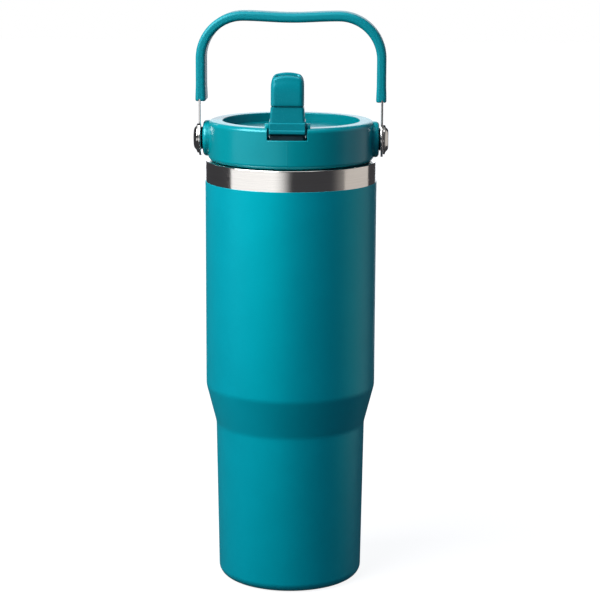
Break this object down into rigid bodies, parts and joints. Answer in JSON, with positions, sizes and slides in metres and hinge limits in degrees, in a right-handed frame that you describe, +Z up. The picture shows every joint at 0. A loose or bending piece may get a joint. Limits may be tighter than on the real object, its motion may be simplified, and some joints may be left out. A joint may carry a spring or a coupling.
{
  "type": "insulated water bottle",
  "caption": "Tall double-walled bottle with a stepped-in foot, screw lid, fold-down drinking spout with straw and a swinging carry handle.",
  "frame": {"origin": "middle of the base, on the surface that the bottle stands on", "axes": "+Z up along the bottle's axis, -Y towards the spout, X through the two handle pivots; rest pose: lid screwed down, spout up, handle up"},
  "size_m": [0.1, 0.0882, 0.2973],
  "materials": {
    "powder_coat": "fine-textured satin powder coat, teal",
    "body_steel": "turned and lightly brushed round the neck",
    "base_steel": "spun satin",
    "sealing_glass": "fused glass bead",
    "getter_metal": "sintered",
    "silicone": "soft matte silicone",
    "lid_plastic": "satin moulded plastic, teal",
    "clear_plastic": "translucent moulded plastic",
    "straw_plastic": "translucent extruded tube",
    "insert_brass": "knurled",
    "polished_steel": "polished stainless",
    "spout_plastic": "satin moulded plastic, teal",
    "black_nylon": "moulded nylon",
    "strap_steel": "tumbled stainless strip",
    "grip_plastic": "satin overmould, teal"
  },
  "bodies": {
    "vessel": {"powder_coat": "powder_coat", "outer_shell": "body_steel", "inner_liner": "body_steel", "base_cup": "body_steel", "base_cover": "base_steel", "vacuum_seal": "sealing_glass", "getter": "getter_metal"},
    "gasket": {"lid_gasket": "silicone"},
    "lid": {"lid_cap": "lid_plastic", "lid_plug": "lid_plastic", "straw_stem": "clear_plastic", "straw": "straw_plastic", "vent_valve": "silicone", "spout_seal": "silicone", "insert_left": "insert_brass", "insert_right": "insert_brass", "hinge_pin_left": "polished_steel", "hinge_pin_right": "polished_steel", "washer_left": "black_nylon", "washer_right": "black_nylon", "pivot_bolt_left": "polished_steel", "pivot_bolt_right": "polished_steel"},
    "spout": {"spout": "spout_plastic"},
    "handle": {"handle_strap": "strap_steel", "handle_grip": "grip_plastic"}
  },
  "joints": [
    {"name": "lid_lift", "type": "slide", "parent": "vessel", "child": "gasket", "axis": [0, 0, 1], "range_m": [0, 0.216]},
    {"name": "lid_turn", "type": "hinge", "parent": "gasket", "child": "lid", "pos_m": [0, 0, 0.2216], "axis": [0, 0, 1], "range_deg": [0, 6480]},
    {"name": "spout_flip", "type": "hinge", "parent": "lid", "child": "spout", "pos_m": [0, -0.0369, 0.2424], "axis": [-1, 0, 0], "range_deg": [0, 90]},
    {"name": "handle_swing", "type": "hinge", "parent": "lid", "child": "handle", "pos_m": [0, 0, 0.2324], "axis": [1, 0, 0], "range_deg": [-120, 120]}
  ],
  "couplings": [
    {"joint": "lid_lift", "follows": "lid_turn", "m_per_rad": 0.0019099}
  ]
}
